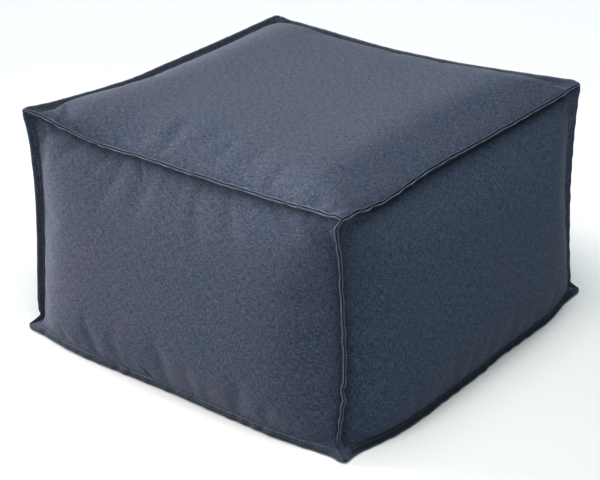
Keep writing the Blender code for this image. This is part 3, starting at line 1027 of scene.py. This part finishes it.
def stitchTree():
    # small thread stitches at even steps along a path, lying flat on the cloth
    tree = bpy.data.node_groups.new("stitches along a seam", "GeometryNodeTree")
    sockets = {"Geometry": "Geometry", "Pitch": "Float", "Stitch Length": "Float", "Thread Width": "Float",
               "Unevenness": "Float", "Seed": "Int", "Thread": "Material"}
    for label, kind in sockets.items():
        tree.interface.new_socket(label, in_out="INPUT", socket_type="NodeSocket" + kind)
    tree.interface.new_socket("Geometry", in_out="OUTPUT", socket_type="NodeSocketGeometry")
    given = nodeOf(tree, "NodeGroupInput").outputs
    result = nodeOf(tree, "NodeGroupOutput")
    toCurve = nodeOf(tree, "GeometryNodeMeshToCurve")
    resample = nodeOf(tree, "GeometryNodeResampleCurve", mode="LENGTH")
    tangent = nodeOf(tree, "GeometryNodeInputTangent")
    outward = nodeOf(tree, "GeometryNodeInputNamedAttribute", data_type="FLOAT_VECTOR")
    outward.inputs["Name"].default_value = "outward"
    alongSeam = nodeOf(tree, "FunctionNodeAlignRotationToVector", axis="X")
    standing = nodeOf(tree, "FunctionNodeAlignRotationToVector", axis="Z", pivot_axis="X")
    bead = nodeOf(tree, "GeometryNodeMeshUVSphere")
    setSockets(bead, {"Segments": stitchLook["segments"], "Rings": stitchLook["rings"], "Radius": 0.5})
    shape = nodeOf(tree, "ShaderNodeCombineXYZ")
    stretch = nodeOf(tree, "GeometryNodeTransform")
    random = nodeOf(tree, "FunctionNodeRandomValue")
    place = nodeOf(tree, "GeometryNodeInstanceOnPoints")
    smooth = nodeOf(tree, "GeometryNodeSetShadeSmooth")
    realize = nodeOf(tree, "GeometryNodeRealizeInstances")
    paint = nodeOf(tree, "GeometryNodeSetMaterial")
    joins = (
        (given["Geometry"], toCurve.inputs["Mesh"]),
        (toCurve.outputs["Curve"], resample.inputs["Curve"]),
        (given["Pitch"], resample.inputs["Length"]),
        (tangent.outputs["Tangent"], alongSeam.inputs["Vector"]),
        (alongSeam.outputs["Rotation"], standing.inputs["Rotation"]),
        (outward.outputs["Attribute"], standing.inputs["Vector"]),
        (given["Stitch Length"], shape.inputs["X"]),
        (given["Thread Width"], shape.inputs["Y"]),
        (given["Thread Width"], shape.inputs["Z"]),
        (bead.outputs["Mesh"], stretch.inputs["Geometry"]),
        (shape.outputs["Vector"], stretch.inputs["Scale"]),
        (mathNode(tree, "SUBTRACT", 1.0, given["Unevenness"]), random.inputs[2]),
        (mathNode(tree, "ADD", 1.0, given["Unevenness"]), random.inputs[3]),
        (given["Seed"], random.inputs["Seed"]),
        (resample.outputs["Curve"], place.inputs["Points"]),
        (stretch.outputs["Geometry"], smooth.inputs["Geometry"]),
        (smooth.outputs["Geometry"], place.inputs["Instance"]),
        (standing.outputs["Rotation"], place.inputs["Rotation"]),
        (random.outputs[1], place.inputs["Scale"]),
        (place.outputs["Instances"], realize.inputs["Geometry"]),
        (realize.outputs["Geometry"], paint.inputs["Geometry"]),
        (given["Thread"], paint.inputs["Material"]),
        (paint.outputs["Geometry"], result.inputs["Geometry"]),
    )
    for source, target in joins:
        tree.links.new(source, target)
    return tree


def sewStitches(panel, path, outward, dark, tree, thread, seed):
    guideMesh = bpy.data.meshes.new(panel + "_stitch_path")
    count = len(path)
    guideMesh.from_pydata(path.tolist(), [(number, (number + 1) % count) for number in range(count)], [])
    setPoints(guideMesh, "outward", unitRows(outward), "FLOAT_VECTOR")
    # painted shade for the thread, the same as on the border beside it
    setPoints(guideMesh, "shade", dark)
    guide = putInScene(panel + "_stitch_path", guideMesh)
    modifier = guide.modifiers.new("Stitches", "NODES")
    modifier.node_group = tree
    values = {
        "Pitch": stitchLook["pitch"],
        "Stitch Length": stitchLook["length"],
        "Thread Width": stitchLook["width"],
        "Unevenness": stitchLook["unevenness"],
        "Seed": seed,
        "Thread": thread,
    }
    for socket in tree.interface.items_tree:
        if socket.item_type == "SOCKET" and socket.in_out == "INPUT" and socket.name in values:
            modifier[socket.identifier] = values[socket.name]
    bpy.context.view_layer.update()
    made = bpy.data.meshes.new_from_object(guide.evaluated_get(bpy.context.evaluated_depsgraph_get()))
    bpy.data.objects.remove(guide, do_unlink=True)
    return putInScene(panel + "_topstitching", made)


# Degrees and metres, seen as the photograph is
cameraSetting = {
    "azimuth": 38.92,
    "elevation": 25.20,
    "distance": 2.349,
    "aimHeight": 0.1655,
    "roll": -0.785,
    "swing": -0.259,
    "tip": 1.049,
    "lens": 94.3,
    "sensor": 36.0,
}
lightSetting = {
    "window": {"kind": "SUN", "place": (0, 0, 2), "from": (-0.98, -0.19, 0.06), "strength": 15.0,
               "softness": 40, "colour": (1.0, 0.93, 0.90)},
    "ceiling": {"kind": "SUN", "place": (0, 0, 2), "from": (0.16, -0.22, 1.00), "strength": 1.95,
                "softness": 60, "colour": (1.0, 0.97, 0.90)},
    "softbox": {"kind": "AREA", "place": (0.32, -0.45, 1.40), "from": (0.32, -0.45, 1.40), "strength": 15.0,
                "across": 1.00, "colour": (1.0, 0.97, 0.90)},
}
roomLook = {"colour": (0.50, 0.81, 1.0), "strength": 0.42}
floorLook = {
    "dark": (0.64, 0.64, 0.64),
    "light": (0.67, 0.67, 0.67),
    "toneNoise": (3.0, 2.0, 0.5),
    "roughness": 0.9,
    "specular": 0.1,
    "halfSize": 14,
    "height": -0.0002,             # a hair under the pouf
}


def placeCamera():
    azimuth = math.radians(cameraSetting["azimuth"])
    elevation = math.radians(cameraSetting["elevation"])
    back = Vector((math.sin(azimuth) * math.cos(elevation), -math.cos(azimuth) * math.cos(elevation),
                   math.sin(elevation)))
    right = Vector((0, 0, 1)).cross(back).normalized()
    turned = Matrix((right, back.cross(right), back)).transposed()
    for key, sign, axis in (("roll", 1, "Z"), ("swing", -1, "Y"), ("tip", -1, "X")):
        turned = turned @ Matrix.Rotation(math.radians(sign * cameraSetting[key]), 3, axis)
    eye = Vector((0, 0, cameraSetting["aimHeight"])) + back * cameraSetting["distance"]
    data = bpy.data.cameras.new("camera")
    data.lens = cameraSetting["lens"]
    data.sensor_width = cameraSetting["sensor"]
    camera = putInScene("camera", data)
    camera.matrix_world = Matrix.Translation(eye) @ turned.to_4x4()
    bpy.context.scene.camera = camera


def placeLights():
    for name, setting in lightSetting.items():
        data = bpy.data.lights.new(name, setting["kind"])
        data.energy = setting["strength"]
        data.color = setting["colour"]
        if setting["kind"] == "SUN":
            data.angle = math.radians(setting["softness"])
        else:
            data.shape = "DISK"
            data.size = setting["across"]
        light = putInScene(name, data)
        light.location = setting["place"]
        light.rotation_mode = "QUATERNION"
        light.rotation_quaternion = Vector(setting["from"]).to_track_quat("Z", "Y")
    world = bpy.data.worlds.new("studio")
    bpy.context.scene.world = world
    world.use_nodes = True
    setSockets(world.node_tree.nodes["Background"],
               {"Color": (*roomLook["colour"], 1.0), "Strength": roomLook["strength"]})


def floorMaterial():
    material, tree, shader = startMaterial("pale floor")
    place = nodeOf(tree, "ShaderNodeTexCoord").outputs["Object"]
    tone = noise(tree, place, *floorLook["toneNoise"])
    tree.links.new(mixColours(tree, tone, floorLook["dark"], floorLook["light"]), shader.inputs["Base Color"])
    setSockets(shader, {"Roughness": floorLook["roughness"], "Specular IOR Level": floorLook["specular"]})
    return material


def layFloor():
    made = bmesh.new()
    bmesh.ops.create_grid(made, x_segments=1, y_segments=1, size=floorLook["halfSize"])
    mesh = bpy.data.meshes.new("floor")
    made.to_mesh(mesh)
    made.free()
    mesh.transform(Matrix.Translation((0, 0, floorLook["height"])))
    mesh.materials.append(floorMaterial())
    putInScene("floor", mesh)


placeCamera()
placeLights()
layFloor()
bpy.context.scene.view_settings.view_transform = "Standard"
print("camera, lights and floor placed")

bodyCloth = clothMaterial("outdoor cloth", folds=creases)
borderCloth = clothMaterial("border cloth", wearAndHighlightColour=clothLook["wornLitEdge"])
sewingThread = threadMaterial()

body = crownedBody()
print("body grid:", len(body.data.polygons), "faces")
settleCloth(body)
body.data.attributes.remove(body.data.attributes["held"])
body.data.materials.append(bodyCloth)
smooth = body.modifiers.new("Smooth cloth", "SUBSURF")
smooth.levels = 1
smooth.render_levels = 1
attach(body, "root")
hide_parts("filled_body")

tree = stitchTree()
for number, panel in enumerate(panels):
    border, stitchPath, loop = buildBorder(panel, borderCloth)
    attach(border, "root")
    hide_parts(panel + "_panel_border")
    stitches = sewStitches(panel, stitchPath, loop["aside"], loop["dark"], tree, sewingThread, number)
    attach(stitches, "root")
    print(panel, "border:", len(border.data.polygons), "faces, stitches:", len(stitches.data.polygons))
